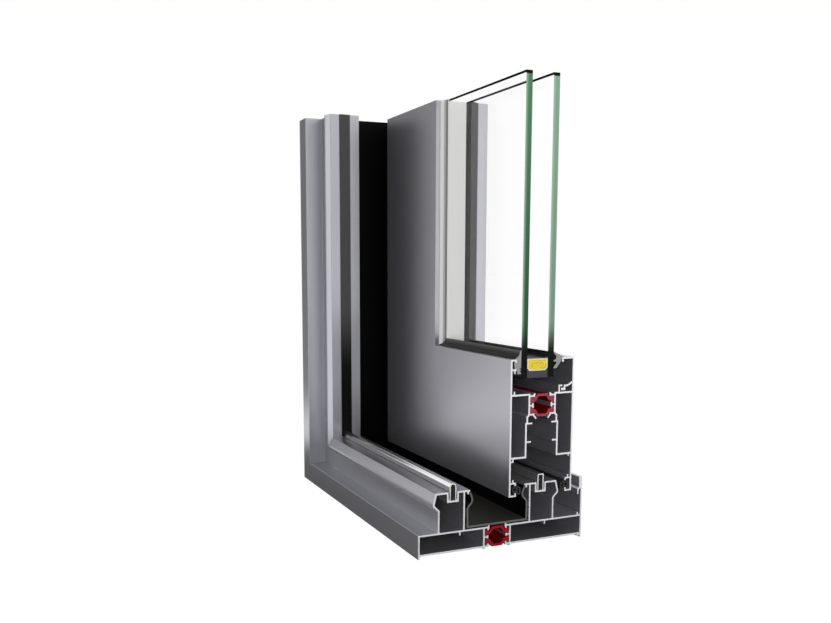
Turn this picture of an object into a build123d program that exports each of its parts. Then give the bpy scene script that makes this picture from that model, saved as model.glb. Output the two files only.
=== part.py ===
from build123d import *
import os

os.makedirs("parts", exist_ok=True)

# Corner of a lift and slide door: a sill and a jamb of the two-track outer frame, with the bottom
# rail, the stile and the double glazing of the sliding sash that stands on the inner track.
# Millimetres. X runs along the sill from the jamb's outer face, Y from the outdoor face to the
# indoor face, Z up from the tips of the sill's flanges. Both cut ends are plain saw cuts.

# Sample and outer frame
SAMPLE_LENGTH = 304.0        # along the sill, to the cut end
SAMPLE_HEIGHT = 396.0        # up the jamb, to the cut end
FRAME_DEPTH = 160.0
FRAME_WALL = 1.6
BASE_FLOOR = 2.7             # underside of the hollow base above the flange tips
LEDGE_HEIGHT = 20.6          # top plate of the hollow base
TRACK_HEIGHT = 54.3          # top plate of the rail supports
OUTER_TRACK_SETBACK = 31.8   # rail's centre behind the outdoor face
INNER_TRACK_SETBACK = 43.3   # rail's centre in front of the indoor face
OUTER_CHAMBER_DEPTH = 62.4   # outdoor face to the thermal break
FRAME_BREAK_WIDTH = 23.8

# Running rails and the slots they are pressed into
RAIL_WIDTH = 6.2
RAIL_PROUD = 7.2             # running surface above the rail support
RAIL_WALL = 1.0
SLOT_WIDTH = 7.9
SLOT_DEPTH = 7.4

# Sash
SASH_DROP = 17.9             # sash's legs hang this far below the running surface
SASH_FACE = 118.0            # visible width of rail and stile
SASH_DEPTH = 63.2
SASH_WALL = 1.6
SASH_BREAK_SIDE = 19.5       # either visible face to the thermal break

# Insulating glass
PANE_THICKNESS = 6.0
PANE_GAP = 20.2
OUTER_REBATE = 9.9           # sash's outdoor face to the outer pane
GLASS_BITE = 16.3            # glass edge below the sash's sight line
SPACER_BITE = 10.3           # back of the spacer below the sight line
SPACER_WALL = 1.1

# Places that follow from those sizes
INNER_CHAMBER_DEPTH = FRAME_DEPTH - OUTER_CHAMBER_DEPTH - FRAME_BREAK_WIDTH
INNER_TRACK = FRAME_DEPTH - INNER_TRACK_SETBACK
RAIL_HEIGHT = TRACK_HEIGHT + RAIL_PROUD
SLOT_FLOOR = TRACK_HEIGHT - SLOT_DEPTH
SASH_EDGE = RAIL_HEIGHT - SASH_DROP    # outer edge above the flange tips, and in from the jamb's face
SASH_FRONT = INNER_TRACK - SASH_DEPTH / 2
SASH_BACK = INNER_TRACK + SASH_DEPTH / 2
SIGHT_LINE = SASH_EDGE + SASH_FACE
OUTER_PANE = SASH_FRONT + OUTER_REBATE
SPACER_FRONT = OUTER_PANE + PANE_THICKNESS
SPACER_BACK = SPACER_FRONT + PANE_GAP
PANE_BACK = SPACER_BACK + PANE_THICKNESS
GLASS_EDGE = SIGHT_LINE - GLASS_BITE
SPACER_EDGE = SIGHT_LINE - SPACER_BITE

COATED = (0.42, 0.42, 0.46)
POLYAMIDE = (0.6, 0.08, 0.1)
BLACK = (0.06, 0.06, 0.06)
RUBBER = (0.12, 0.12, 0.12)
STEEL = (0.75, 0.76, 0.78)
CASTING = (0.7, 0.7, 0.72)
GLASS = (0.8, 0.9, 0.85)

LOW = (Align.MIN, Align.MIN, Align.MIN)
pieces = {}


def keep(name, shape, color):
    """Moves a piece so that the base's centre is the origin, and keeps it under its name."""
    shape = Pos(-SAMPLE_LENGTH / 2, -FRAME_DEPTH / 2, 0) * shape
    shape.label = name
    shape.color = Color(*color)
    pieces[name] = shape


def area(*corners):
    """A closed outline of (depth, height) corners, always turned the same way so that it fuses."""
    turn = sum(a[0] * b[1] - b[0] * a[1] for a, b in zip(corners, corners[1:] + corners[:1]))
    return Polygon(*(corners if turn > 0 else corners[::-1]), align=None)


def bar(low, high):
    """A rectangle between two (depth, height) corners."""
    return area(low, (high[0], low[1]), high, (low[0], high[1]))


def wall(path, thickness):
    """A wall of even thickness along an open path of (depth, height) points, with mitred bends."""
    points = [Vector(*point) for point in path]
    runs = [(b - a).normalized() for a, b in zip(points, points[1:])]
    sides = [Vector(-run.Y, run.X) for run in runs]
    left, right = [], []
    for index, point in enumerate(points):
        before = sides[max(index - 1, 0)]
        after = sides[min(index, len(sides) - 1)]
        bend = (before + after) * (thickness / 2 / (1 + before.dot(after)))
        left.append(point + bend)
        right.append(point - bend)
    return area(*[(point.X, point.Y) for point in left + right[::-1]])


def from_behind(section, depth):
    """The same section drawn from the indoor side of something this deep."""
    return Pos(depth, 0) * mirror(section, Plane.YZ)


def slab(x, y, z):
    """A block between the low and high values of each axis."""
    return Pos(x[0], y[0], z[0]) * Box(x[1] - x[0], y[1] - y[0], z[1] - z[0], align=LOW)


# Every section is drawn as (depth, height) for the horizontal member. The upright member has the same
# section with its heights laid along X, and both are cut at 45 degrees where they meet.
MITRE_LYING = extrude(
    Plane.XZ * Polygon((0, 0), (SAMPLE_LENGTH, 0), (SAMPLE_LENGTH, SAMPLE_LENGTH), align=None),
    amount=-FRAME_DEPTH)
MITRE_STANDING = extrude(
    Plane.XZ * Polygon((0, 0), (SAMPLE_HEIGHT, SAMPLE_HEIGHT), (0, SAMPLE_HEIGHT), align=None),
    amount=-FRAME_DEPTH)
UPRIGHT = Plane(origin=(0, 0, 0), x_dir=(0, 1, 0), z_dir=(0, 0, -1))


def lying(section):
    return extrude(Plane.YZ * section, SAMPLE_LENGTH, dir=(1, 0, 0)) & MITRE_LYING


def standing(section):
    return extrude(UPRIGHT * section, SAMPLE_HEIGHT, dir=(0, 0, 1)) & MITRE_STANDING


# Thermal break: omega-shaped polyamide strips. Each foot sits between the tongue in the middle of an
# aluminium half and a claw at its edge, and the back bows away from the middle.
FOOT_WIDTH = 3.6
STRIP_WALL = 2.2
CLAW_SETBACK = 3.2           # claw's centre beyond the hollow's wall
TONGUE_LENGTH = 3.6


def insulating_strip(start, end, foot, back):
    low, high = foot
    centre = (low + high) / 2
    bow = 2 * FOOT_WIDTH + 0.4
    web = FOOT_WIDTH + 1.2
    strip = wall([(start + 1.6, centre), (start + web, centre), (start + bow, back),
                  (end - bow, back), (end - web, centre), (end - 1.6, centre)], STRIP_WALL)
    for side in (start, end - FOOT_WIDTH):
        strip += bar((side, low), (side + FOOT_WIDTH, high))
    return strip


def tongue(side, middle, half_thickness):
    """The rib between two strips, with its thickened end."""
    return bar((side - 0.8, middle - 0.7), (side + TONGUE_LENGTH - 1, middle + 0.7)) + bar(
        (side + TONGUE_LENGTH - 1.6, middle - half_thickness), (side + TONGUE_LENGTH, middle + half_thickness))


# Outer frame section. Each aluminium half is drawn from its own visible face inwards.
FRAME_MIDDLE = (BASE_FLOOR + LEDGE_HEIGHT) / 2
FRAME_CLAW = 5.7             # middle of the break to the tips of its claws
FRAME_TONGUE = 1.3
BREAK_TOP = LEDGE_HEIGHT + 1.3   # tips of the upper claws, which carry the channel cover
SUPPORT_INSIDE = 11.4        # rail's centre to the support's wall beside the channel
SUPPORT_LIP = 16.2           # rail's centre to the end of the clip lip
LIP_HOOK = 14.2


def rail_support(track):
    """The hollow that carries a rail, with its slot, the bulged flank and the cover's clip lip."""
    w = FRAME_WALL
    top = TRACK_HEIGHT - w / 2
    slot = SLOT_WIDTH / 2 + w / 2
    flank = wall([(track - 13.0, LEDGE_HEIGHT - w / 2), (track - 13.0, TRACK_HEIGHT - 15.3),
                  (track - 17.6, TRACK_HEIGHT - 10.6), (track - 17.4, TRACK_HEIGHT - 8.8),
                  (track - 15.4, top), (track - slot, top), (track - slot, SLOT_FLOOR - w / 2),
                  (track + slot, SLOT_FLOOR - w / 2), (track + slot, top), (track + SUPPORT_LIP, top)], w)
    inside = track + SUPPORT_INSIDE - w / 2
    return flank + wall([(inside, LEDGE_HEIGHT - w / 2), (inside, top)], w) + wall(
        [(track + LIP_HOOK, top), (track + LIP_HOOK, TRACK_HEIGHT - 3.6)], w)


def base_half(chamber, track, rib):
    """The hollow base of one half, its claws for the two insulating strips, and its rail support."""
    w = FRAME_WALL
    claw = chamber + CLAW_SETBACK
    plate = wall([(0, LEDGE_HEIGHT - w / 2), (claw, LEDGE_HEIGHT - w / 2)], w)
    floor = wall([(0, BASE_FLOOR + w / 2), (claw, BASE_FLOOR + w / 2), (claw, FRAME_MIDDLE - FRAME_CLAW)], w)
    inner = wall([(chamber - w / 2, BASE_FLOOR + w / 2), (chamber - w / 2, LEDGE_HEIGHT - w / 2)], w)
    tip = FRAME_MIDDLE + FRAME_CLAW
    hook = area((claw - 0.8, tip), (claw - 0.8, LEDGE_HEIGHT), (claw + 0.2, BREAK_TOP),
                (claw + 1.2, BREAK_TOP), (claw + 1.3, LEDGE_HEIGHT - 1.2), (claw + 0.7, tip))
    ridge = bar((rib - 0.75, LEDGE_HEIGHT - 4.4), (rib + 0.75, LEDGE_HEIGHT - w / 2))
    foot = bar((chamber - w, BASE_FLOOR - 1.2), (chamber + 0.6, BASE_FLOOR + w / 2))
    return (plate + floor + inner + hook + ridge + foot + tongue(chamber, FRAME_MIDDLE, FRAME_TONGUE)
            + rail_support(track))


outer_half = base_half(OUTER_CHAMBER_DEPTH, OUTER_TRACK_SETBACK, OUTER_TRACK_SETBACK + 6.8)
outer_half += wall([(FRAME_WALL / 2, 0), (FRAME_WALL / 2, LEDGE_HEIGHT)], FRAME_WALL)

# The indoor face is carried up to the track's height and folds back on itself. The end of the fold
# steps away from it as a hanging leaf.
fold = FRAME_WALL * 1.5
leaf = FRAME_WALL / 2 + 3.4
fold_end = TRACK_HEIGHT - 9.4
inner_half = base_half(INNER_CHAMBER_DEPTH, INNER_TRACK_SETBACK, INNER_TRACK_SETBACK - 4.9)
inner_half += wall([(FRAME_WALL / 2, 0), (FRAME_WALL / 2, TRACK_HEIGHT + 0.6)], FRAME_WALL)
inner_half += wall([(fold, TRACK_HEIGHT + 0.6), (fold, fold_end), (leaf, fold_end - 1.4),
                    (leaf, fold_end - 5.6)], FRAME_WALL)
inner_half += bar((leaf - 0.8, LEDGE_HEIGHT - FRAME_WALL / 2), (leaf + 0.8, LEDGE_HEIGHT + 2.4))
inner_half += bar((FRAME_WALL / 2, BASE_FLOOR - 1.4), (4.6, BASE_FLOOR + FRAME_WALL / 2))
inner_half = from_behind(inner_half, FRAME_DEPTH)

break_start = OUTER_CHAMBER_DEPTH
break_end = OUTER_CHAMBER_DEPTH + FRAME_BREAK_WIDTH
upper_strip = insulating_strip(
    break_start, break_end, (FRAME_MIDDLE + FRAME_TONGUE, FRAME_MIDDLE + FRAME_CLAW), LEDGE_HEIGHT - 1.4)
lower_strip = insulating_strip(
    break_start, break_end, (FRAME_MIDDLE - FRAME_CLAW, FRAME_MIDDLE - FRAME_TONGUE), BASE_FLOOR + 1.1)

for place, run in (("sill", lying), ("jamb", standing)):
    keep(f"{place}_outer_profile", run(outer_half), COATED)
    keep(f"{place}_inner_profile", run(inner_half), COATED)
    keep(f"{place}_upper_insulating_strip", run(upper_strip), POLYAMIDE)
    keep(f"{place}_lower_insulating_strip", run(lower_strip), POLYAMIDE)

# Channel cover: a black trough that rests on the break's claws and clips under both lips. Its sides
# are given as distances from the rail supports' walls, and bulge into the channel near the top.
COVER_WALL = 1.6
cover_floor = BREAK_TOP + COVER_WALL / 2
cover_top = TRACK_HEIGHT - FRAME_WALL
cover_side = [(4.5, cover_top - 0.8), (5.5, cover_top - 2.6), (6.5, cover_top - 5.4), (6.7, cover_top - 7.8),
              (5.7, cover_top - 10.0), (3.2, cover_top - 12.4), (2.3, cover_top - 14.4), (2.3, cover_floor)]
cover_left = OUTER_TRACK_SETBACK + SUPPORT_INSIDE
cover_right = INNER_TRACK - SUPPORT_INSIDE
cover = wall([(cover_left + away, height) for away, height in cover_side]
             + [(cover_right - away, height) for away, height in cover_side[::-1]], COVER_WALL)
keep("sill_channel_cover", lying(cover), BLACK)
keep("jamb_channel_cover", standing(cover), BLACK)

# Running rails: bright hat-shaped sections whose feet are held in the slots of the sill. The outer
# rail has a round head, the inner one a flat head with rounded shoulders.
RAIL_START = TRACK_HEIGHT + 1.4
RAIL_SHOULDER = 1.4


def running_rail(track, round_head):
    half = RAIL_WIDTH / 2
    bore = half - RAIL_WALL
    if round_head:
        head = Pos(track, RAIL_HEIGHT - half) * Circle(half)
        hollow = Pos(track, RAIL_HEIGHT - half) * Circle(bore)
    else:
        head = Pos(track, RAIL_HEIGHT - half) * RectangleRounded(RAIL_WIDTH, RAIL_WIDTH, RAIL_SHOULDER)
        hollow = Pos(track, RAIL_HEIGHT - half) * RectangleRounded(2 * bore, 2 * bore, RAIL_SHOULDER - 0.9)
    section = head + bar((track - half, SLOT_FLOOR), (track + half, RAIL_HEIGHT - half))
    section += bar((track - SLOT_WIDTH / 2, SLOT_FLOOR), (track + SLOT_WIDTH / 2, SLOT_FLOOR + RAIL_WALL))
    section -= hollow + bar((track - bore, SLOT_FLOOR), (track + bore, RAIL_HEIGHT - half))
    return Pos(RAIL_START, 0, 0) * extrude(Plane.YZ * section, SAMPLE_LENGTH - RAIL_START, dir=(1, 0, 0))


keep("outer_rail", running_rail(OUTER_TRACK_SETBACK, True), STEEL)
keep("inner_rail", running_rail(INNER_TRACK, False), STEEL)

# Slot fillers: plastic strips that close the jamb's unused slots, with a cap over the slot's edges.
FILLER_WALL = 1.2
FILLER_CAP = 11.2


def slot_filler(track):
    leg = SLOT_WIDTH / 2 - FILLER_WALL / 2
    section = bar((track - FILLER_CAP / 2, TRACK_HEIGHT), (track + FILLER_CAP / 2, TRACK_HEIGHT + FILLER_WALL))
    for side in (-leg, leg):
        section += wall([(track + side, SLOT_FLOOR), (track + side, TRACK_HEIGHT + FILLER_WALL / 2)], FILLER_WALL)
    length = SAMPLE_HEIGHT - TRACK_HEIGHT - FILLER_WALL
    return Pos(0, 0, TRACK_HEIGHT + FILLER_WALL) * extrude(UPRIGHT * section, length, dir=(0, 0, 1))


keep("jamb_outer_slot_filler", slot_filler(OUTER_TRACK_SETBACK), (0.2, 0.2, 0.2))
keep("jamb_inner_slot_filler", slot_filler(INNER_TRACK), (0.2, 0.2, 0.2))


def corner_cleat(depth, height, reach):
    """A cast angle inside two mitred hollows, which holds the mitre shut."""
    return slab((height[0], height[0] + reach), depth, height) + slab(height, depth, (height[0], height[0] + reach))


FRAME_CLEAT_REACH = 70
frame_hollow = (BASE_FLOOR + FRAME_WALL, LEDGE_HEIGHT - FRAME_WALL)
keep("frame_outer_corner_cleat", corner_cleat(
    (FRAME_WALL, OUTER_TRACK_SETBACK + 5.5), frame_hollow, FRAME_CLEAT_REACH), CASTING)
keep("frame_inner_corner_cleat", corner_cleat(
    (INNER_TRACK + 6.5, FRAME_DEPTH - FRAME_WALL), frame_hollow, FRAME_CLEAT_REACH), CASTING)

# Sash section. Each rise is measured from the sash's outer edge, depths from either visible face.
FLOOR_RISE = 32.8            # underside of the two hollows
LOWER_LIP_RISE = 46.0        # lips of the channel that holds the running gear
UPPER_LIP_RISE = 62.0
CLAW_RISE = 70.9             # underside of the thermal break
MIDDLE_RISE = 77.9           # tongue between the two insulating strips
ROOF_RISE = 88.3             # floor of the glazing rebate
CLAW_LIP = 2.8               # floor of the rebate to the strip that the upper claws hold
CLAW_BEAK = 3.0              # height of an upper claw's tip
SASH_TONGUE = 1.9
HOLLOW_FLOOR = SASH_EDGE + FLOOR_RISE
LOWER_LIP = SASH_EDGE + LOWER_LIP_RISE
UPPER_LIP = SASH_EDGE + UPPER_LIP_RISE
LOWER_CLAW = SASH_EDGE + CLAW_RISE
SASH_MIDDLE = SASH_EDGE + MIDDLE_RISE
HOLLOW_ROOF = SASH_EDGE + ROOF_RISE
UPPER_CLAW = HOLLOW_ROOF - CLAW_LIP
CHANNEL_SIDE = 16.7
LIP_WALL = 1.4
SEAT_DEPTH = 7.0             # seat for the seal on each leg
SEAT_HEIGHT = 12.4


def sash_half(top):
    """The face with its seal leg, the hollow, the channel's lips and the claws for the strips."""
    w = SASH_WALL
    channel = CHANNEL_SIDE - w / 2
    inner = SASH_BREAK_SIDE - w / 2
    step = CHANNEL_SIDE + 0.3
    claw = SASH_BREAK_SIDE + FOOT_WIDTH
    section = wall([(w / 2, SASH_EDGE), (w / 2, top)], w)
    section += wall([(w / 2, HOLLOW_FLOOR + w / 2), (channel, HOLLOW_FLOOR + w / 2),
                     (channel, UPPER_LIP + 0.6), (step, UPPER_LIP + 1.7), (step, LOWER_CLAW - 2.6),
                     (inner, LOWER_CLAW - 0.9), (inner, HOLLOW_ROOF - w / 2)], w)
    section += wall([(w / 2, HOLLOW_ROOF - w / 2), (inner + w / 2, HOLLOW_ROOF - w / 2)], w)
    section += bar((inner, UPPER_CLAW), (claw, UPPER_CLAW + LIP_WALL))
    section += area((claw - 1.0, UPPER_CLAW), (claw - 1.0, UPPER_CLAW + LIP_WALL),
                    (claw + 0.6, UPPER_CLAW + CLAW_BEAK), (claw + 1.4, UPPER_CLAW + CLAW_BEAK),
                    (claw + 1.5, UPPER_CLAW + 1.8), (claw + 0.9, UPPER_CLAW - 0.5),
                    (claw + 0.1, UPPER_CLAW - 0.5), (claw + 0.1, UPPER_CLAW))
    section += wall([(inner, LOWER_CLAW - LIP_WALL / 2), (claw - 0.4, LOWER_CLAW - LIP_WALL / 2),
                     (claw + 2.7, LOWER_CLAW - 4.5)], LIP_WALL)
    section += bar((claw + 0.1, LOWER_CLAW - LIP_WALL / 2), (claw + 1.0, LOWER_CLAW + 0.4))
    section += tongue(SASH_BREAK_SIDE, SASH_MIDDLE, SASH_TONGUE)
    section += bar((channel, UPPER_LIP), (channel + 6.0, UPPER_LIP + 1.3))
    section += bar((channel, LOWER_LIP), (channel + 5.1, LOWER_LIP + LIP_WALL))
    seat_end = SEAT_DEPTH - LIP_WALL / 2
    for level, turn in ((SASH_EDGE + LIP_WALL / 2, 2.5), (SASH_EDGE + SEAT_HEIGHT - LIP_WALL / 2, -2.1)):
        section += wall([(w / 2, level), (seat_end, level), (seat_end, level + turn)], LIP_WALL)
    section += bar((3.2, SASH_EDGE + SEAT_HEIGHT - LIP_WALL), (4.6, SASH_EDGE + SEAT_HEIGHT + 2.4))
    return section


# The outdoor half runs on up as the fixed glazing leg. A hook and a toothed ledge seat the gasket.
SEAT_HOOK = 5.0              # hook's centre behind the visible face
HOOK_WALL = 1.5
HOOK_DROP = 2.8
SEAT_TOOTH = 7.2             # tip of the ledge's tooth below the sight line
SEAT_LEDGE = 9.0
outer_sash = sash_half(SIGHT_LINE)
outer_sash += wall([(SASH_WALL / 2, SIGHT_LINE - HOOK_WALL / 2), (SEAT_HOOK, SIGHT_LINE - HOOK_WALL / 2),
                    (SEAT_HOOK, SIGHT_LINE - HOOK_DROP)], HOOK_WALL)
outer_sash += wall([(SASH_WALL / 2, SIGHT_LINE - SEAT_LEDGE), (5.6, SIGHT_LINE - SEAT_LEDGE)], HOOK_WALL)
outer_sash += bar((4.4, SIGHT_LINE - SEAT_LEDGE), (5.6, SIGHT_LINE - SEAT_TOOTH))
outer_sash += bar((3.4, SIGHT_LINE - SEAT_LEDGE - 3.2), (4.7, SIGHT_LINE - SEAT_LEDGE))
outer_sash += bar((3.2, HOLLOW_ROOF - 0.8), (4.6, HOLLOW_ROOF + 2.5))
outer_sash += wall([(SASH_WALL / 2, HOLLOW_FLOOR - 2.3), (3.6, HOLLOW_FLOOR - 2.3),
                    (3.6, HOLLOW_FLOOR + 0.8)], 1.2)
outer_sash = Pos(SASH_FRONT, 0) * outer_sash

# The indoor half carries the glazing bead on its visible face and under an upstand on the roof.
BEAD_SEAT = HOLLOW_ROOF + 6.1
FACE_TOP = HOLLOW_ROOF + 6.7
inner_sash = sash_half(FACE_TOP)
inner_sash += wall([(14.8, HOLLOW_ROOF - 0.8), (14.8, BEAD_SEAT - 0.7), (11.7, BEAD_SEAT - 0.7)], LIP_WALL)
inner_sash += bar((3.0, HOLLOW_FLOOR - 1.6), (4.2, HOLLOW_FLOOR + 0.8))
inner_sash = Pos(SASH_FRONT, 0) * from_behind(inner_sash, SASH_DEPTH)

strip_start = SASH_FRONT + SASH_BREAK_SIDE
strip_end = SASH_BACK - SASH_BREAK_SIDE
upper_strip = insulating_strip(
    strip_start, strip_end, (SASH_MIDDLE + SASH_TONGUE, UPPER_CLAW), HOLLOW_ROOF - 1.6)
lower_strip = insulating_strip(
    strip_start, strip_end, (LOWER_CLAW, SASH_MIDDLE - SASH_TONGUE), LOWER_CLAW - 1.6)

# Glazing bead on the indoor side: an angle that stands on the sash's face. Its foot hooks in under
# the upstand, and its top has a rounded hook that holds the gasket.
BEAD_WALL = 1.5
BEAD_HOOK = 11.6             # hook's centre in front of the indoor face
bead = wall([(BEAD_HOOK, SIGHT_LINE - 3.0), (BEAD_HOOK, SIGHT_LINE - BEAD_WALL / 2),
             (BEAD_WALL / 2, SIGHT_LINE - BEAD_WALL / 2), (BEAD_WALL / 2, FACE_TOP + BEAD_WALL / 2),
             (2.2, FACE_TOP + BEAD_WALL / 2), (6.4, BEAD_SEAT - 1.0), (9.3, BEAD_SEAT - 1.0),
             (9.3, HOLLOW_ROOF + 2.3)], BEAD_WALL)
bead += bar((9.3 - BEAD_WALL / 2, HOLLOW_ROOF + 1.2), (12.9, HOLLOW_ROOF + 3.3))
bead += Pos(BEAD_HOOK, SIGHT_LINE - 3.0) * Circle(1.0)
bead = Pos(SASH_FRONT, 0) * from_behind(bead, SASH_DEPTH)

for place, run in (("bottom_rail", lying), ("stile", standing)):
    keep(f"{place}_outer_profile", run(outer_sash), COATED)
    keep(f"{place}_inner_profile", run(inner_sash), COATED)
    keep(f"{place}_upper_insulating_strip", run(upper_strip), POLYAMIDE)
    keep(f"{place}_lower_insulating_strip", run(lower_strip), POLYAMIDE)
    keep(f"{place}_glazing_bead", run(bead), COATED)

# Glazing gaskets, pressed between the panes and their seats and carried round the corner. Both have
# barbs against the glass and a lip that rises above the sight line. Corners are given as distances
# behind the sash's visible face, or behind the inner pane, and above the sight line.
hook_front = SEAT_HOOK - HOOK_WALL / 2
hook_back = SEAT_HOOK + HOOK_WALL / 2
outer_gasket = area(*[(SASH_FRONT + depth, SIGHT_LINE + rise) for depth, rise in (
    (OUTER_REBATE, 7.5), (OUTER_REBATE, -6.6), (OUTER_REBATE - 1.4, -7.8), (OUTER_REBATE, -9.0),
    (OUTER_REBATE - 1.4, -10.4), (OUTER_REBATE, -11.4), (OUTER_REBATE, -12.4), (6.2, -12.4),
    (6.1, -SEAT_TOOTH),
    (3.6, -SEAT_TOOTH), (3.0, -4.6), (3.3, -1.9), (hook_front, -1.9), (hook_front, -HOOK_DROP),
    (hook_back, -HOOK_DROP), (hook_back, 0), (3.9, 0), (4.3, 0.8), (7.2, 2.6), (8.2, 4.6), (8.9, 7.5))])
bead_face = SASH_BACK - BEAD_HOOK - HOOK_WALL / 2 - PANE_BACK
inner_gasket = area(*[(PANE_BACK + depth, SIGHT_LINE + rise) for depth, rise in (
    (0, 5.4), (0, 4.0), (2.1, 2.0), (2.7, 0.4), (2.2, -1.3), (0, -2.3), (0, -3.1), (2.9, -3.8), (2.3, -5.3),
    (0.6, -7.4), (0, -8.4), (0, -9.2), (3.1, -9.0), (4.7, -6.8), (6.4, -5.0), (7.6, -3.1), (7.7, -1.9),
    (bead_face, -1.4), (bead_face, 0), (bead_face + 1.7, 0), (bead_face + 1.5, 0.6), (7.6, 1.6), (6.2, 2.7),
    (3.8, 3.6), (1.4, 4.6))])
keep("outer_glazing_gasket", lying(outer_gasket) + standing(outer_gasket), RUBBER)
keep("inner_glazing_gasket", lying(inner_gasket) + standing(inner_gasket), RUBBER)

# Seals on the sash's legs: a foot behind the two lips of the seat, a hollow ring at its mouth and a
# hollow fin that reaches towards the frame.
SEAL_FOOT = 1.2
RING_RADIUS = 2.4
RING_BORE = 1.3
SEAL_REACH = 12.0            # tip of the fin behind the visible face
seal_middle = SASH_EDGE + SEAT_HEIGHT / 2
seal = bar((SEAT_DEPTH - LIP_WALL - SEAL_FOOT, seal_middle - 4.2), (SEAT_DEPTH - LIP_WALL, seal_middle + 4.2))
seal += Pos(SEAT_DEPTH - LIP_WALL, seal_middle) * Circle(RING_RADIUS)
seal += area((SEAT_DEPTH + 0.2, seal_middle - 4.6), (SEAL_REACH - 0.6, seal_middle - 4.2),
             (SEAL_REACH, seal_middle - 1.0), (SEAL_REACH - 0.4, seal_middle + 1.6),
             (SEAT_DEPTH + 0.4, seal_middle + 4.2))
seal -= area((SEAT_DEPTH + 1.6, seal_middle - 3.4), (SEAT_DEPTH + 3.0, seal_middle - 3.2),
             (SEAT_DEPTH + 3.0, seal_middle + 1.4), (SEAT_DEPTH + 1.6, seal_middle + 2.4))
seal -= Pos(SEAT_DEPTH - LIP_WALL, seal_middle) * Circle(RING_BORE)
outer_seal = Pos(SASH_FRONT, 0) * seal
inner_seal = Pos(SASH_FRONT, 0) * from_behind(seal, SASH_DEPTH)
keep("outer_track_seal", lying(outer_seal) + standing(outer_seal), RUBBER)
keep("inner_track_seal", lying(inner_seal) + standing(inner_seal), RUBBER)

# Insulating glass: two panes, the spacer bent round the corner with its drying filling, and the edge
# seal outside it.
glass_x = (GLASS_EDGE, SAMPLE_LENGTH)
glass_z = (GLASS_EDGE, SAMPLE_HEIGHT)
keep("outer_pane", slab(glass_x, (OUTER_PANE, SPACER_FRONT), glass_z), GLASS)
keep("inner_pane", slab(glass_x, (SPACER_BACK, PANE_BACK), glass_z), GLASS)

SPACER_CHAMFER = 2.3


def spacer_outline(inset):
    """The spacer bar's section with its two back corners taken off, drawn this far inside."""
    front, back = SPACER_FRONT + inset, SPACER_BACK - inset
    edge, top = SPACER_EDGE + inset, SIGHT_LINE - inset
    cut = SPACER_CHAMFER - 0.4 * inset
    return area((front, top), (front, edge + cut), (front + cut, edge), (back - cut, edge),
                (back, edge + cut), (back, top))


filling = spacer_outline(SPACER_WALL)
shell = spacer_outline(0) - filling
edge_seal = bar((SPACER_FRONT, GLASS_EDGE), (SPACER_BACK, SIGHT_LINE - SPACER_CHAMFER)) - spacer_outline(0)
keep("glass_spacer", lying(shell) + standing(shell), (0.85, 0.83, 0.7))
keep("spacer_filling", lying(filling) + standing(filling), (0.85, 0.75, 0.25))
keep("glass_edge_seal", lying(edge_seal) + standing(edge_seal), (0.35, 0.35, 0.37))

BLOCK_LENGTH = 60
block_start = SIGHT_LINE + 20
keep("setting_block", slab((block_start, block_start + BLOCK_LENGTH), (OUTER_PANE, PANE_BACK),
                           (UPPER_CLAW + CLAW_BEAK, GLASS_EDGE)), BLACK)

SASH_CLEAT_REACH = 110
SASH_CLEAT_DEPTH = CHANNEL_SIDE - 2 * SASH_WALL
sash_hollow = (HOLLOW_FLOOR + SASH_WALL, HOLLOW_FLOOR + SASH_WALL + 50)
keep("sash_outer_corner_cleat", corner_cleat(
    (SASH_FRONT + SASH_WALL, SASH_FRONT + SASH_WALL + SASH_CLEAT_DEPTH), sash_hollow, SASH_CLEAT_REACH), CASTING)
keep("sash_inner_corner_cleat", corner_cleat(
    (SASH_BACK - SASH_WALL - SASH_CLEAT_DEPTH, SASH_BACK - SASH_WALL), sash_hollow, SASH_CLEAT_REACH), CASTING)

# Lifting gear in the channel of the bottom rail. The block hangs on the channel's lips and moves with
# the sash. Its two pins slide in the carriage, which rolls on the inner rail.
CARRIAGE_START = 66          # from the sash's outer edge
CARRIAGE_LENGTH = 116
CARRIAGE_WIDTH = 18
CARRIAGE_CORNER = 6
SIDE_PLATE = 2.6
SIDE_RISE = 3.0              # side plates above the running surface
TOP_PLATE = 3.0
LIP_GAP = 1.4                # carriage's top below the lips of the channel
ROLLER_INSET = 22            # from either end of the carriage
ROLLER_RADIUS = 10.0
ROLLER_FLANGE = 2.4
FLANGE_WIDTH = 1.7
AXLE_RADIUS = 2.5
AXLE_HEAD = 1.0
AXLE_HEAD_RIM = 1.1
PIN_INSET = 44
PIN_RADIUS = 3.0
PIN_REACH = 15.7             # pins' lower ends below the carriage's top
PIN_SEAT = 2.0
BLOCK_INSET = 30
LIFT_BLOCK_WIDTH = 28
LIFT_BLOCK_HEIGHT = 10
RUNNING_GAP = 0.3
carriage_x = (SASH_EDGE + CARRIAGE_START, SASH_EDGE + CARRIAGE_START + CARRIAGE_LENGTH)
roller_places = (carriage_x[0] + ROLLER_INSET, carriage_x[1] - ROLLER_INSET)
pin_places = (carriage_x[0] + PIN_INSET, carriage_x[1] - PIN_INSET)
axle_height = RAIL_HEIGHT + ROLLER_RADIUS
plate_top = LOWER_LIP - LIP_GAP
block_floor = LOWER_LIP + LIP_WALL
pin_end = plate_top - PIN_REACH

block = slab((carriage_x[0] + BLOCK_INSET, carriage_x[1] - BLOCK_INSET),
             (INNER_TRACK - LIFT_BLOCK_WIDTH / 2, INNER_TRACK + LIFT_BLOCK_WIDTH / 2),
             (block_floor, block_floor + LIFT_BLOCK_HEIGHT))
for x in pin_places:
    block += Pos(x, INNER_TRACK, pin_end) * Cylinder(PIN_RADIUS, block_floor + PIN_SEAT - pin_end, align=(
        Align.CENTER, Align.CENTER, Align.MIN))
keep("lifting_block", block, STEEL)

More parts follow.
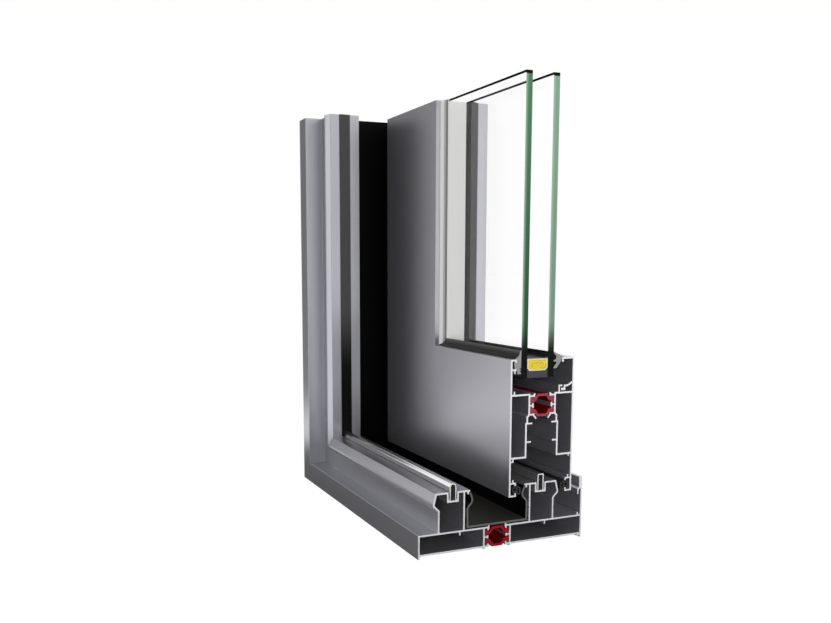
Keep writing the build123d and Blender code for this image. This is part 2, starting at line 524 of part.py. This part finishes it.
carriage_sides = (INNER_TRACK - CARRIAGE_WIDTH / 2, INNER_TRACK + CARRIAGE_WIDTH / 2)
carriage = slab(carriage_x, carriage_sides, (plate_top - TOP_PLATE, plate_top))
for start in (carriage_sides[0], carriage_sides[1] - SIDE_PLATE):
    carriage += slab(carriage_x, (start, start + SIDE_PLATE), (RAIL_HEIGHT + SIDE_RISE, plate_top))
for x in pin_places:
    carriage -= Pos(x, INNER_TRACK, plate_top) * Cylinder(PIN_RADIUS + RUNNING_GAP, 4 * TOP_PLATE)
for x in roller_places:
    carriage -= Pos(x, INNER_TRACK, axle_height) * Rot(90, 0, 0) * Cylinder(AXLE_RADIUS, 2 * CARRIAGE_WIDTH)
carriage = fillet(carriage.edges().filter_by(Axis.Y).group_by(Axis.Z)[0], CARRIAGE_CORNER)
keep("carriage_frame", carriage, STEEL)

tread_width = RAIL_WIDTH + 2 * RUNNING_GAP
roller_width = tread_width + 2 * FLANGE_WIDTH
wheel = Cylinder(ROLLER_RADIUS, roller_width)
for side in (-1, 1):
    wheel += Pos(0, 0, side * (tread_width + FLANGE_WIDTH) / 2) * Cylinder(
        ROLLER_RADIUS + ROLLER_FLANGE, FLANGE_WIDTH)
wheel -= Cylinder(AXLE_RADIUS, 2 * roller_width)
for name, x in zip(("rear", "front"), roller_places):
    keep(f"{name}_roller", Pos(x, INNER_TRACK, axle_height) * Rot(90, 0, 0) * wheel, (0.85, 0.83, 0.78))

axle = Cylinder(AXLE_RADIUS, CARRIAGE_WIDTH)
for side in (-1, 1):
    axle += Pos(0, 0, side * (CARRIAGE_WIDTH + AXLE_HEAD) / 2) * Cylinder(AXLE_RADIUS + AXLE_HEAD_RIM, AXLE_HEAD)
keep("roller_axles", Compound(
    [Pos(x, INNER_TRACK, axle_height) * Rot(90, 0, 0) * axle for x in roller_places]), STEEL)

for name, shape in pieces.items():
    export_step(shape, f"parts/{name}.step")
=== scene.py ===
import bpy
from mathutils import Matrix, Vector


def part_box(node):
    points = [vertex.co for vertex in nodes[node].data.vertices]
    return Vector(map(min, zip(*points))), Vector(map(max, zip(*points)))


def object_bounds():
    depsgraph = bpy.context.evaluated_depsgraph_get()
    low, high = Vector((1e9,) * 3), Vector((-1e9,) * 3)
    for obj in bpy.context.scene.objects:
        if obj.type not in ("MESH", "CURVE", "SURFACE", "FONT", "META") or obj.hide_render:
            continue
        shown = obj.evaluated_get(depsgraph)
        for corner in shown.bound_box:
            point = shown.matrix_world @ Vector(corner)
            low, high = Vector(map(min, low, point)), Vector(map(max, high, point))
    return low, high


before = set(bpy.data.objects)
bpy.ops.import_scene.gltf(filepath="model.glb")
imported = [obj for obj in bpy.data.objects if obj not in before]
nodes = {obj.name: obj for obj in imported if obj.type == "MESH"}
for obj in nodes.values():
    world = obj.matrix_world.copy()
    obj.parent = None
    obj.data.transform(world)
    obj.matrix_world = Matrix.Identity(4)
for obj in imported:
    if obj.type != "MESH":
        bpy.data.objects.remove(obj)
cad_low, cad_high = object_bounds()

# Outer frame and sash profiles: extruded aluminium with mitred corners, finished in a grey powder
# coat that has a fine orange peel. The sample is sawn off square at the right and at the top, where
# the bare metal shows bright, with the faint arcs of the saw.
COAT = (0.59, 0.59, 0.64)
COAT_PALE = (0.62, 0.62, 0.67)
BARE_METAL = (0.90, 0.90, 0.92)
BARE_METAL_WORN = (0.80, 0.80, 0.83)
EDGE_RADIUS = 0.00035
EDGE_ANGLE = 0.6
WELD_DISTANCE = 0.000005
END_X = cad_high.x
END_Z = cad_high.z
END_MARGIN = 0.0004
END_FACING = (0.3, 0.5)


class Signal:
    """A number that changes over a surface. Arithmetic on it adds Math nodes."""

    def __init__(self, finish, socket):
        self.finish = finish
        self.socket = socket

    def math(self, operation, *others):
        values = dict(enumerate((self, *others)))
        return self.finish.node("ShaderNodeMath", {"operation": operation}, values).signal()

    def __add__(self, other):
        return self.math("ADD", other)

    __radd__ = __add__

    def __sub__(self, other):
        return self.math("SUBTRACT", other)

    def __rsub__(self, other):
        return (self * -1) + other

    def __mul__(self, other):
        return self.math("MULTIPLY", other)

    __rmul__ = __mul__

    def rise(self, start, end):
        """Goes smoothly from 0 at start to 1 at end."""
        return self.finish.node("ShaderNodeMapRange", {"interpolation_type": "SMOOTHSTEP"}, {
            "Value": self, "From Min": start, "From Max": end}).signal()

    def larger(self, other):
        return self.math("MAXIMUM", other)

    def smaller(self, other):
        return self.math("MINIMUM", other)


class Made:
    """A node just added, with short ways to its outputs."""

    def __init__(self, finish, node):
        self.finish = finish
        self.outputs = node.outputs

    def signal(self, name=0):
        return Signal(self.finish, self.outputs[name])


class Finish:
    """A procedural material, built up one node at a time."""

    def __init__(self, name):
        self.material = bpy.data.materials.new(name)
        self.material.use_nodes = True
        self.tree = self.material.node_tree
        self.tree.nodes.clear()
        self.places = self.node("ShaderNodeTexCoord")

    def node(self, kind, settings=None, sockets=None):
        node = self.tree.nodes.new(kind)
        for name, value in (settings or {}).items():
            setattr(node, name, value)
        for name, value in (sockets or {}).items():
            if isinstance(value, Signal):
                self.tree.links.new(value.socket, node.inputs[name])
            elif isinstance(value, bpy.types.NodeSocket):
                self.tree.links.new(value, node.inputs[name])
            elif isinstance(value, tuple) and len(value) == 3 and node.inputs[name].type == "RGBA":
                node.inputs[name].default_value = (*value, 1)
            else:
                node.inputs[name].default_value = value
        return Made(self, node)

    def vectors(self, operation, *values):
        """A Vector Math node on vectors, given as sockets or as three numbers."""
        return self.node("ShaderNodeVectorMath", {"operation": operation}, dict(enumerate(values)))

    def part(self, vector, axis):
        """One of the three numbers of a vector."""
        return self.node("ShaderNodeSeparateXYZ", {}, {0: vector}).signal(axis)

    def place(self, axis):
        return self.part(self.places.outputs["Object"], axis)

    def facing(self, axis):
        return self.part(self.places.outputs["Normal"], axis)

    def blend(self, factor, first, second):
        mix = self.node("ShaderNodeMix", {"data_type": "RGBA"}, {0: factor, 6: first, 7: second})
        return mix.outputs[2]

    def grain(self, size, stretch=(1, 1, 1), detail=3.0):
        """Noise whose specks are about this size in metres, drawn out along any axis by stretch."""
        specks = tuple(1 / (size * drawn) for drawn in stretch)
        scaled = self.vectors("MULTIPLY", self.places.outputs["Object"], specks)
        return self.node("ShaderNodeTexNoise", {}, {
            "Vector": scaled.outputs[0], "Scale": 1.0, "Detail": detail}).signal("Fac")

    def cut_ends(self):
        """1 on the two sawn ends of the sample and 0 elsewhere."""
        right, top = (
            self.place(axis).rise(end - 2 * END_MARGIN, end - END_MARGIN)
            * self.facing(axis).rise(*END_FACING)
            for axis, end in (("X", END_X), ("Z", END_Z)))
        return right.larger(top)

    def bump(self, height, strength, distance):
        return self.node("ShaderNodeBump", {}, {
            "Height": height, "Strength": strength, "Distance": distance}).outputs["Normal"]

    def surface(self, sockets):
        shader = self.node("ShaderNodeBsdfPrincipled", {}, sockets)
        self.node("ShaderNodeOutputMaterial", {}, {"Surface": shader.outputs[0]})
        return self.material


def soften(node, radius=EDGE_RADIUS):
    """Breaks the sharp edges of a node with a small chamfer that catches the light."""
    weld = nodes[node].modifiers.new("weld", "WELD")
    weld.merge_threshold = WELD_DISTANCE
    bevel = nodes[node].modifiers.new("edges", "BEVEL")
    bevel.width = radius
    bevel.segments = 2
    bevel.limit_method = "ANGLE"
    bevel.angle_limit = EDGE_ANGLE


def dress(node, material):
    nodes[node].data.materials.clear()
    nodes[node].data.materials.append(material)


coat = Finish("grey_powder_coat")
peel = coat.grain(size=0.0011)
cloud = coat.grain(size=0.045)
cut = coat.cut_ends()
saw = coat.grain(size=0.00035, stretch=(1, 0.6, 9), detail=2.0)
coat_material = coat.surface({
    "Base Color": coat.blend(
        cut, coat.blend(cloud, COAT, COAT_PALE), coat.blend(saw, BARE_METAL_WORN, BARE_METAL)),
    "Metallic": 0.82 - cut * 0.45,
    "Roughness": 0.28 + peel * 0.06 + cut * 0.14,
    "Normal": coat.bump(peel, strength=0.25, distance=0.00002)})

for place in ("sill", "jamb", "bottom_rail", "stile"):
    for half in ("outer", "inner"):
        dress(f"{place}_{half}_profile", coat_material)
        soften(f"{place}_{half}_profile")

# Insulating strips: red glass-fibre reinforced polyamide, rolled into the claws of both aluminium
# halves. Their skin is matt with fine drawn lines, and the sawn ends are paler where fibres show.
POLYAMIDE = (0.22, 0.002, 0.005)
POLYAMIDE_DULL = (0.14, 0.0015, 0.004)
# The frame's sawn ends are a darker copy of the sash's: painted shade where the strips lie in the
# frame.
FRAME_STRIP_ENDS_IN_PAINTED_SHADE = ((0.24, 0.005, 0.012), (0.33, 0.025, 0.04))
SASH_STRIP_ENDS = ((0.29, 0.038, 0.062), (0.38, 0.09, 0.12))
FIBRE_SHOWS = (0.45, 0.75)
ALONG_X = (60, 1, 1)
ALONG_Z = (1, 1, 60)


def polyamide(name, stretch, end_colour, fibre_colour):
    strip = Finish(name)
    lines = strip.grain(size=0.0004, stretch=stretch)
    fibre = strip.grain(size=0.0006).rise(*FIBRE_SHOWS)
    return strip.surface({
        "Base Color": strip.blend(
            strip.cut_ends(), strip.blend(lines, POLYAMIDE_DULL, POLYAMIDE),
            strip.blend(fibre, end_colour, fibre_colour)),
        "Roughness": 0.42 + lines * 0.16,
        "Specular IOR Level": 0.25,
        "Normal": strip.bump(lines, strength=0.3, distance=0.00003)})


for place, stretch, end_colours in (
        ("sill", ALONG_X, FRAME_STRIP_ENDS_IN_PAINTED_SHADE), ("jamb", ALONG_Z, FRAME_STRIP_ENDS_IN_PAINTED_SHADE),
        ("bottom_rail", ALONG_X, SASH_STRIP_ENDS), ("stile", ALONG_Z, SASH_STRIP_ENDS)):
    strip_material = polyamide(f"red_polyamide_{place}", stretch, *end_colours)
    for level in ("upper", "lower"):
        dress(f"{place}_{level}_insulating_strip", strip_material)

# Channel covers: troughs of extruded black plastic that clip under the lips between the two tracks
# and hide the thermal break. Their faces that point up are painted paler, as painted light.
COVER_BLACK = (0.0012, 0.0012, 0.0011)
COVER_PAINTED_LIGHT = (0.050, 0.048, 0.043)
COVER_END = (0.13, 0.13, 0.125)
PAINTED_LIGHT_FACING = (0.6, 0.95)
cover = Finish("black_cover_plastic")
cover_lines = cover.grain(size=0.0005, stretch=(8, 1, 8))
# Painted light: faces that point up are painted paler than the black plastic.
painted_light_up = cover.facing("Z").rise(*PAINTED_LIGHT_FACING)
cover_material = cover.surface({
    "Base Color": cover.blend(
        cover.cut_ends(), cover.blend(painted_light_up, COVER_BLACK, COVER_PAINTED_LIGHT), COVER_END),
    "Roughness": 0.36 + cover_lines * 0.18,
    "Specular IOR Level": 0.1,
    "Normal": cover.bump(cover_lines, strength=0.2, distance=0.00002)})
for place in ("sill", "jamb"):
    dress(f"{place}_channel_cover", cover_material)

# Slot fillers: grey plastic strips pressed into the jamb's unused rail slots, painted nearly black
# toward the sill as painted shade.
FILLER_GREY = (0.064, 0.064, 0.062)
FILLER_PALE = (0.087, 0.087, 0.085)
FILLER_PAINTED_SHADE = (0.002, 0.002, 0.002)
PAINTED_SHADE_FADES = (0.125, 0.205)
filler = Finish("grey_filler_plastic")
filler_lines = filler.grain(size=0.0007, stretch=(1, 1, 80))
# Painted shade: the filler is painted nearly black toward the sill.
filler_material = filler.surface({
    "Base Color": filler.blend(
        filler.place("Z").rise(*PAINTED_SHADE_FADES), FILLER_PAINTED_SHADE,
        filler.blend(filler_lines, FILLER_GREY, FILLER_PALE)),
    "Roughness": 0.5 + filler_lines * 0.15,
    "Specular IOR Level": 0.2,
    "Normal": filler.bump(filler_lines, strength=0.3, distance=0.00003)})
for track in ("outer", "inner"):
    dress(f"jamb_{track}_slot_filler", filler_material)

# Running rails: stainless steel hats drawn to shape and pressed into the sill's slots. Their heads
# are bright from drawing and from the rollers, with very fine lines along the run.
STEEL = (0.92, 0.92, 0.91)
STEEL_WORN = (0.84, 0.84, 0.84)
STEEL_BRIGHT = (0.35, 0.7)
RAIL_EDGE = 0.00012
rail = Finish("stainless_rail")
rail_lines = rail.grain(size=0.0012, stretch=ALONG_X)
rail_material = rail.surface({
    "Base Color": rail.blend(rail_lines.rise(*STEEL_BRIGHT), STEEL_WORN, STEEL),
    "Metallic": 0.92 - rail.cut_ends() * 0.45,
    "Roughness": 0.12 + rail_lines * 0.08,
    "Normal": rail.bump(rail_lines, strength=0.04, distance=0.00001)})
for track in ("outer", "inner"):
    dress(f"{track}_rail", rail_material)
    soften(f"{track}_rail", RAIL_EDGE)

# Corner cleats: cast aluminium angles pushed into the hollows of both members at each mitre, where
# they are crimped to pull it shut. They are hidden once the corner is made.
CAST = (0.48, 0.48, 0.50)
CAST_DARK = (0.36, 0.36, 0.38)
CAST_EDGE = 0.0008
cast = Finish("cast_aluminium")
cast_skin = cast.grain(size=0.0009)
cast_material = cast.surface({
    "Base Color": cast.blend(cast_skin, CAST_DARK, CAST),
    "Metallic": 1.0,
    "Roughness": 0.5 + cast_skin * 0.2,
    "Normal": cast.bump(cast_skin, strength=0.5, distance=0.0001)})
for place in ("frame", "sash"):
    for side in ("outer", "inner"):
        dress(f"{place}_{side}_corner_cleat", cast_material)
        soften(f"{place}_{side}_corner_cleat", CAST_EDGE)

# Running gear: a galvanised steel carriage with two turned plastic rollers on steel axles, which
# runs on the inner rail, and the steel block and pins in the bottom rail that raise the sash on it.
GALVANISED = (0.55, 0.56, 0.58)
GALVANISED_DARK = (0.40, 0.41, 0.43)
SPANGLE_EDGE = (0.35, 0.65)
GEAR_EDGE = 0.0003
gear = Finish("galvanised_steel")
spangle = gear.grain(size=0.004)
gear_material = gear.surface({
    "Base Color": gear.blend(spangle.rise(*SPANGLE_EDGE), GALVANISED_DARK, GALVANISED),
    "Metallic": 1.0,
    "Roughness": 0.34 + spangle * 0.2})
for node in ("carriage_frame", "lifting_block", "roller_axles"):
    dress(node, gear_material)
    soften(node, GEAR_EDGE)

ROLLER_WHITE = (0.55, 0.53, 0.47)
ROLLER_TURNED = (0.48, 0.46, 0.40)
ROLLER_EDGE = 0.0004
roller = Finish("roller_plastic")
turning = roller.grain(size=0.0006)
roller_material = roller.surface({
    "Base Color": roller.blend(turning, ROLLER_TURNED, ROLLER_WHITE),
    "Roughness": 0.38 + turning * 0.1})
for place in ("front", "rear"):
    dress(f"{place}_roller", roller_material)
    soften(f"{place}_roller", ROLLER_EDGE)

# Spacer of the glass unit: a pale bar bent round the corner between the panes and packed with
# drying beads, which show yellow at the cut. A grey sealant behind it bonds the panes together.
SPACER = (0.95, 0.95, 0.94)
SPACER_PAINTED_SHADE = (0.04, 0.04, 0.042)
SPACER_END = (0.72, 0.69, 0.48)
SPACER_SHADE_FACING = (0.4, 0.7)
spacer = Finish("spacer_bar")
spacer_skin = spacer.grain(size=0.0012)
# Painted shade: the spacer's faces that point up, between the panes, are painted near black.
spacer_painted_shade = spacer.facing("Z").rise(*SPACER_SHADE_FACING)
dress("glass_spacer", spacer.surface({
    "Base Color": spacer.blend(
        spacer.cut_ends(), spacer.blend(spacer_painted_shade, SPACER, SPACER_PAINTED_SHADE), SPACER_END),
    "Roughness": 0.42 + spacer_skin * 0.12}))

BEAD_YELLOW = (0.92, 0.72, 0.045)
BEAD_SHADE = (0.62, 0.46, 0.04)
BEAD_SIZE = 0.0011
BEAD_ROUND = (0.25, 0.75)
beads = Finish("drying_beads")
cells = beads.node("ShaderNodeTexVoronoi", {}, {
    "Vector": beads.places.outputs["Object"], "Scale": 1 / BEAD_SIZE}).signal("Distance")
# Painted shade: the yellow darkens toward the edges, between the beads.
dress("spacer_filling", beads.surface({
    "Base Color": beads.blend(cells.rise(*BEAD_ROUND), BEAD_YELLOW, BEAD_SHADE),
    "Roughness": 0.6,
    "Normal": beads.bump(1 - cells, strength=0.6, distance=0.0003)}))

SEALANT = (0.045, 0.045, 0.056)
SEALANT_PALE = (0.065, 0.065, 0.076)
sealant = Finish("edge_sealant")
smear = sealant.grain(size=0.003)
dress("glass_edge_seal", sealant.surface({
    "Base Color": sealant.blend(smear, SEALANT, SEALANT_PALE),
    "Roughness": 0.6,
    "Specular IOR Level": 0.25,
    "Normal": sealant.bump(smear, strength=0.4, distance=0.0002)}))

# Panes of the glass unit: 6 mm float glass. The faces are clear, and the sawn and ground edges are
# green, with painted light where light gets in near each pane's front, and painted shade that
# darkens them downwards and turns them nearly black in the rebate, behind the stile and along the
# top arris.
GLASS_IOR = 1.48
MIRROR_SHARE = 0.3
CLEAR = (1.0, 1.0, 1.0)
EDGE_COLOURS = {
    "outer": ((0.085, 0.22, 0.11), (0.025, 0.085, 0.034)),
    "inner": ((0.24, 0.40, 0.28), (0.19, 0.29, 0.22))}
EDGE_LIT = (0.45, 0.62, 0.50)
EDGE_LIT_SHARE = 0.6
EDGE_PAINTED_SHADE = (0.001, 0.002, 0.0015)
EDGE_PALEST = END_Z + 0.02
FACE_FACING = (0.5, 0.9)
ARRIS = (END_Z - 0.0011, END_Z - 0.00099)
CAP = (END_Z - 0.0032, END_Z - 0.0024)
SIGHT_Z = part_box("bottom_rail_outer_profile")[1].z
SIGHT_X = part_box("stile_outer_profile")[1].x
REBATE_SHADE = (SIGHT_Z + 0.004, SIGHT_Z + 0.034)
STILE_SHADE = (SIGHT_X, SIGHT_X + 0.002)


def pane_glass(side, high_colour, low_colour):
    glass = Finish(f"float_glass_{side}")
    near, far = (corner.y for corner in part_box(f"{side}_pane"))
    height = glass.place("Z")
    face = glass.facing("Y").math("ABSOLUTE").rise(*FACE_FACING)
    edge = (1 - face).larger(height.rise(*ARRIS))
    # Painted shade in the rebate, behind the stile and along the top arris; painted light near each
    # pane's front.
    buried = (1 - height.rise(*REBATE_SHADE)).larger(1 - glass.place("X").rise(*STILE_SHADE))
    shade = buried.larger(height.rise(*CAP))
    lit = (1 - glass.place("Y").rise(near, (near + far) / 2)) * EDGE_LIT_SHARE
    edge_colour = glass.blend(
        lit, glass.blend(height.rise(SIGHT_Z, EDGE_PALEST), low_colour, high_colour), EDGE_LIT)
    through, mirroring = (
        glass.node(kind, {}, {"Color": CLEAR, "Roughness": 0.0, "IOR": GLASS_IOR}).outputs[0]
        for kind in ("ShaderNodeBsdfRefraction", "ShaderNodeBsdfGlass"))
    clear = glass.node("ShaderNodeMixShader", {}, {0: MIRROR_SHARE, 1: through, 2: mirroring})
    ground = glass.node("ShaderNodeBsdfPrincipled", {}, {
        "Base Color": glass.blend(shade, edge_colour, EDGE_PAINTED_SHADE),
        "Roughness": 0.25,
        "Specular IOR Level": 0.1})
    both = glass.node("ShaderNodeMixShader", {}, {
        0: edge, 1: clear.outputs[0], 2: ground.outputs[0]})
    glass.node("ShaderNodeOutputMaterial", {}, {"Surface": both.outputs[0]})
    return glass.material


for side, colours in EDGE_COLOURS.items():
    dress(f"{side}_pane", pane_glass(side, *colours))
    nodes[f"{side}_pane"].visible_shadow = False

# Setting block: a moulded black plastic block laid in the bottom rail's rebate, which carries the
# weight of both panes. It is hidden once the glass is in.
BLOCK_BLACK = (0.010, 0.010, 0.011)
BLOCK_EDGE = 0.0004
block = Finish("setting_block_plastic")
block_skin = block.grain(size=0.0008)
dress("setting_block", block.surface({
    "Base Color": BLOCK_BLACK,
    "Roughness": 0.45 + block_skin * 0.2,
    "Normal": block.bump(block_skin, strength=0.3, distance=0.00005)}))
soften("setting_block", BLOCK_EDGE)

# Glazing gaskets and track seals: extruded black rubber with a dry sheen, grey where it is cut. The
# upright gasket is painted pale where it faces the opening and, less, where it faces out: painted
# light.
GASKET = (0.012, 0.012, 0.012)
GASKET_DULL = (0.024, 0.024, 0.024)
GASKET_PAINTED_LIGHT = (0.82, 0.82, 0.80)
GASKET_END = (0.30, 0.30, 0.305)
SEAL_END = (0.03, 0.03, 0.03)
UPRIGHT_START = (SIGHT_Z + 0.003, SIGHT_Z + 0.01)
OPENING_FACING = (0.1, 0.8)
FRONT_FACING = (0.6, 1.0)
FRONT_PAINTED_LIGHT = 0.25


def rubber(name, painted_light_share, end_colour):
    made = Finish(name)
    skin = made.grain(size=0.0014)
    front = (made.facing("Y") * -1).rise(*FRONT_FACING) * made.place("Z").rise(*UPRIGHT_START)
    # Painted light: the upright gasket's faces toward the opening and the front are painted pale.
    painted_light = (made.facing("X").rise(*OPENING_FACING) + front * FRONT_PAINTED_LIGHT).smaller(1.0) * painted_light_share
    return made.surface({
        "Base Color": made.blend(
            made.cut_ends(),
            made.blend(painted_light, made.blend(skin, GASKET, GASKET_DULL), GASKET_PAINTED_LIGHT), end_colour),
        "Roughness": 0.48 + skin * 0.14,
        "Specular IOR Level": 0.3,
        "Normal": made.bump(skin, strength=0.2, distance=0.00003)})


dress("outer_glazing_gasket", rubber("outdoor_gasket_rubber", 1.0, GASKET_END))
dress("inner_glazing_gasket", rubber("indoor_gasket_rubber", 0.05, GASKET_END))
seal_rubber = rubber("seal_rubber", 0.0, SEAL_END)
for side in ("outer", "inner"):
    dress(f"{side}_track_seal", seal_rubber)

# Glazing beads: thin hollow angles of the same coated extrusion, mitred at the corner. They clip in
# on the indoor side once the glass stands on its block, and hold it against the outdoor gasket.
for place in ("bottom_rail", "stile"):
    dress(f"{place}_glazing_bead", coat_material)
    soften(f"{place}_glazing_bead")

# Floor: a wide pale sheet that keeps the sample's soft shadow. It is white where it shows directly
# or through glass. In metal it is dark close to the sample, a painted shadow, and dims far out
# where the studio does.
FLOOR_REACH = 14.0
FLOOR_DROP = 0.0002
FLOOR_WHITE = 0.95
FLOOR_DIFFUSE = (0.32, 0.32, 0.32)
CONTACT_SHADE = (0.14, 0.25)
FAR_SHADE = (0.36, 0.66)
GAP_TOWARDS = (-0.945, -0.327, 0.0)
GAP_EDGE = (0.945, 0.985)
GAP_DEPTH = 0.93
FRONT_TOWARDS = (0.92, -0.39, 0.0)
FRONT_EDGE = (0.75, 0.95)
FRONT_DEPTH = 0.9
RIGHT_EDGE = (0.2, 0.8)
RIGHT_DEPTH = 0.12
DIM_TOP = (0.35, 0.6)
floor_mesh = bpy.data.meshes.new("floor")
corners = [
    (x * FLOOR_REACH, y * FLOOR_REACH, -FLOOR_DROP)
    for x, y in ((-1, -1), (1, -1), (1, 1), (-1, 1))]
floor_mesh.from_pydata(corners, [], [(0, 1, 2, 3)])
floor = bpy.data.objects.new("floor", floor_mesh)
bpy.context.scene.collection.objects.link(floor)


def seen(finish, in_metal, as_light):
    """1 where it shows directly or through glass, in_metal where metal shows it, else as_light."""
    path = finish.node("ShaderNodeLightPath")
    first = 1 - path.signal("Diffuse Depth").smaller(1.0)
    direct = path.signal("Is Camera Ray").larger(path.signal("Is Transmission Ray")) * first
    mirrored = path.signal("Is Glossy Ray") * first
    return direct.larger(mirrored * in_metal).larger((1 - mirrored) * as_light)


def dimming(finish, direction):
    """How much the studio dims this way: past the jamb, at the front right and at the right."""
    flat = finish.vectors("MULTIPLY", direction, (1.0, 1.0, 0.0)).outputs[0]
    bearing = finish.vectors("NORMALIZE", flat).outputs[0]
    gap, front = (
        finish.vectors("DOT_PRODUCT", bearing, towards).signal("Value").rise(*edge) * depth
        for towards, edge, depth in (
            (GAP_TOWARDS, GAP_EDGE, GAP_DEPTH), (FRONT_TOWARDS, FRONT_EDGE, FRONT_DEPTH)))
    low = 1 - finish.part(direction, "Z").rise(*DIM_TOP)
    right = finish.part(direction, "X").rise(*RIGHT_EDGE) * RIGHT_DEPTH
    return (gap.larger(front) * low).larger(right)


middle = (cad_low + cad_high) / 2
half = cad_high - middle
ground = Finish("pale_floor")
spot = ground.vectors(
    "SUBTRACT", ground.places.outputs["Object"], (middle.x, middle.y, 0.0)).outputs[0]
spread = ground.vectors("ABSOLUTE", spot).outputs[0]
beyond = ground.vectors("SUBTRACT", spread, (half.x, half.y, 0.0)).outputs[0]
outside = ground.vectors("MAXIMUM", beyond, (0.0, 0.0, 0.0)).outputs[0]
away = ground.vectors("LENGTH", outside).signal("Value")
outward = ground.vectors("NORMALIZE", spot).outputs[0]
# Painted shadow: in metal the floor is dark close to the sample.
in_metal = away.rise(*CONTACT_SHADE) * (1 - away.rise(*FAR_SHADE) * dimming(ground, outward))
glow = ground.node("ShaderNodeEmission", {}, {
    "Strength": seen(ground, in_metal, 0.0) * FLOOR_WHITE})
matt = ground.node("ShaderNodeBsdfDiffuse", {}, {"Color": FLOOR_DIFFUSE})
both = ground.node("ShaderNodeAddShader", {}, {0: glow.outputs[0], 1: matt.outputs[0]})
ground.node("ShaderNodeOutputMaterial", {}, {"Surface": both.outputs[0]})
floor_mesh.materials.append(ground.material)

# World: a white room that shows directly, through glass and in metal, and dims to the same sides as
# the floor. To everything else it is only a low, even fill.
FILL = 0.16
world = bpy.data.worlds.new("studio")
world.use_nodes = True
bpy.context.scene.world = world


class Studio(Finish):
    """The world's nodes, built in the same way as a material's."""

    def __init__(self, owner):
        self.tree = owner.node_tree
        self.tree.nodes.clear()
        self.places = self.node("ShaderNodeTexCoord")


sky = Studio(world)
backdrop = sky.node("ShaderNodeBackground", {}, {
    "Color": (1.0, 1.0, 1.0),
    "Strength": seen(sky, 1 - dimming(sky, sky.places.outputs["Generated"]), FILL)})
sky.node("ShaderNodeOutputWorld", {}, {"Surface": backdrop.outputs[0]})

# Lamps: three large soft boxes, strongest at the front right, that light the sample at a plain
# level. They don't show themselves, directly or in metal or glass.
LAMP_TARGET = (0, 0, 0.2)


def softbox(name, place, size, power):
    lamp = bpy.data.lights.new(name, "AREA")
    lamp.shape = "RECTANGLE"
    lamp.size, lamp.size_y = size
    lamp.energy = power
    holder = bpy.data.objects.new(name, lamp)
    holder.visible_camera = False
    holder.visible_transmission = False
    holder.visible_glossy = False
    holder.location = place
    holder.rotation_mode = "QUATERNION"
    holder.rotation_quaternion = (Vector(LAMP_TARGET) - Vector(place)).to_track_quat("-Z", "Y")
    bpy.context.scene.collection.objects.link(holder)


softbox("front_left_light", place=(-1.25, -1.5, 0.5), size=(0.9, 1.1), power=4)
softbox("front_right_light", place=(1.95, -0.75, 0.42), size=(1.0, 1.0), power=28)
softbox("right_light", place=(1.9, 0.9, 0.35), size=(1.4, 1.0), power=12)

# Camera: a little above the middle of the sample, in front and to the right, looking slightly down,
# with a small shift that frames the sample as in the photograph.
CAMERA_PLACE = (0.7662, -0.3711, 0.2403)
CAMERA_RIGHT = (0.3829, 0.9238, -0.0029)
CAMERA_UP = (-0.1152, 0.0509, 0.9921)
CAMERA_BACK = (0.9166, -0.3795, 0.1259)
lens = bpy.data.cameras.new("camera")
lens.sensor_width = 36.0
lens.lens = 37.19
lens.shift_x = 0.0475
lens.shift_y = 0.0753
lens.clip_start = 0.01
camera = bpy.data.objects.new("camera", lens)
camera.matrix_world = Matrix.Translation(CAMERA_PLACE) @ Matrix(
    (CAMERA_RIGHT, CAMERA_UP, CAMERA_BACK)).transposed().to_4x4()
bpy.context.scene.collection.objects.link(camera)
bpy.context.scene.camera = camera
bpy.context.scene.view_settings.view_transform = "Standard"
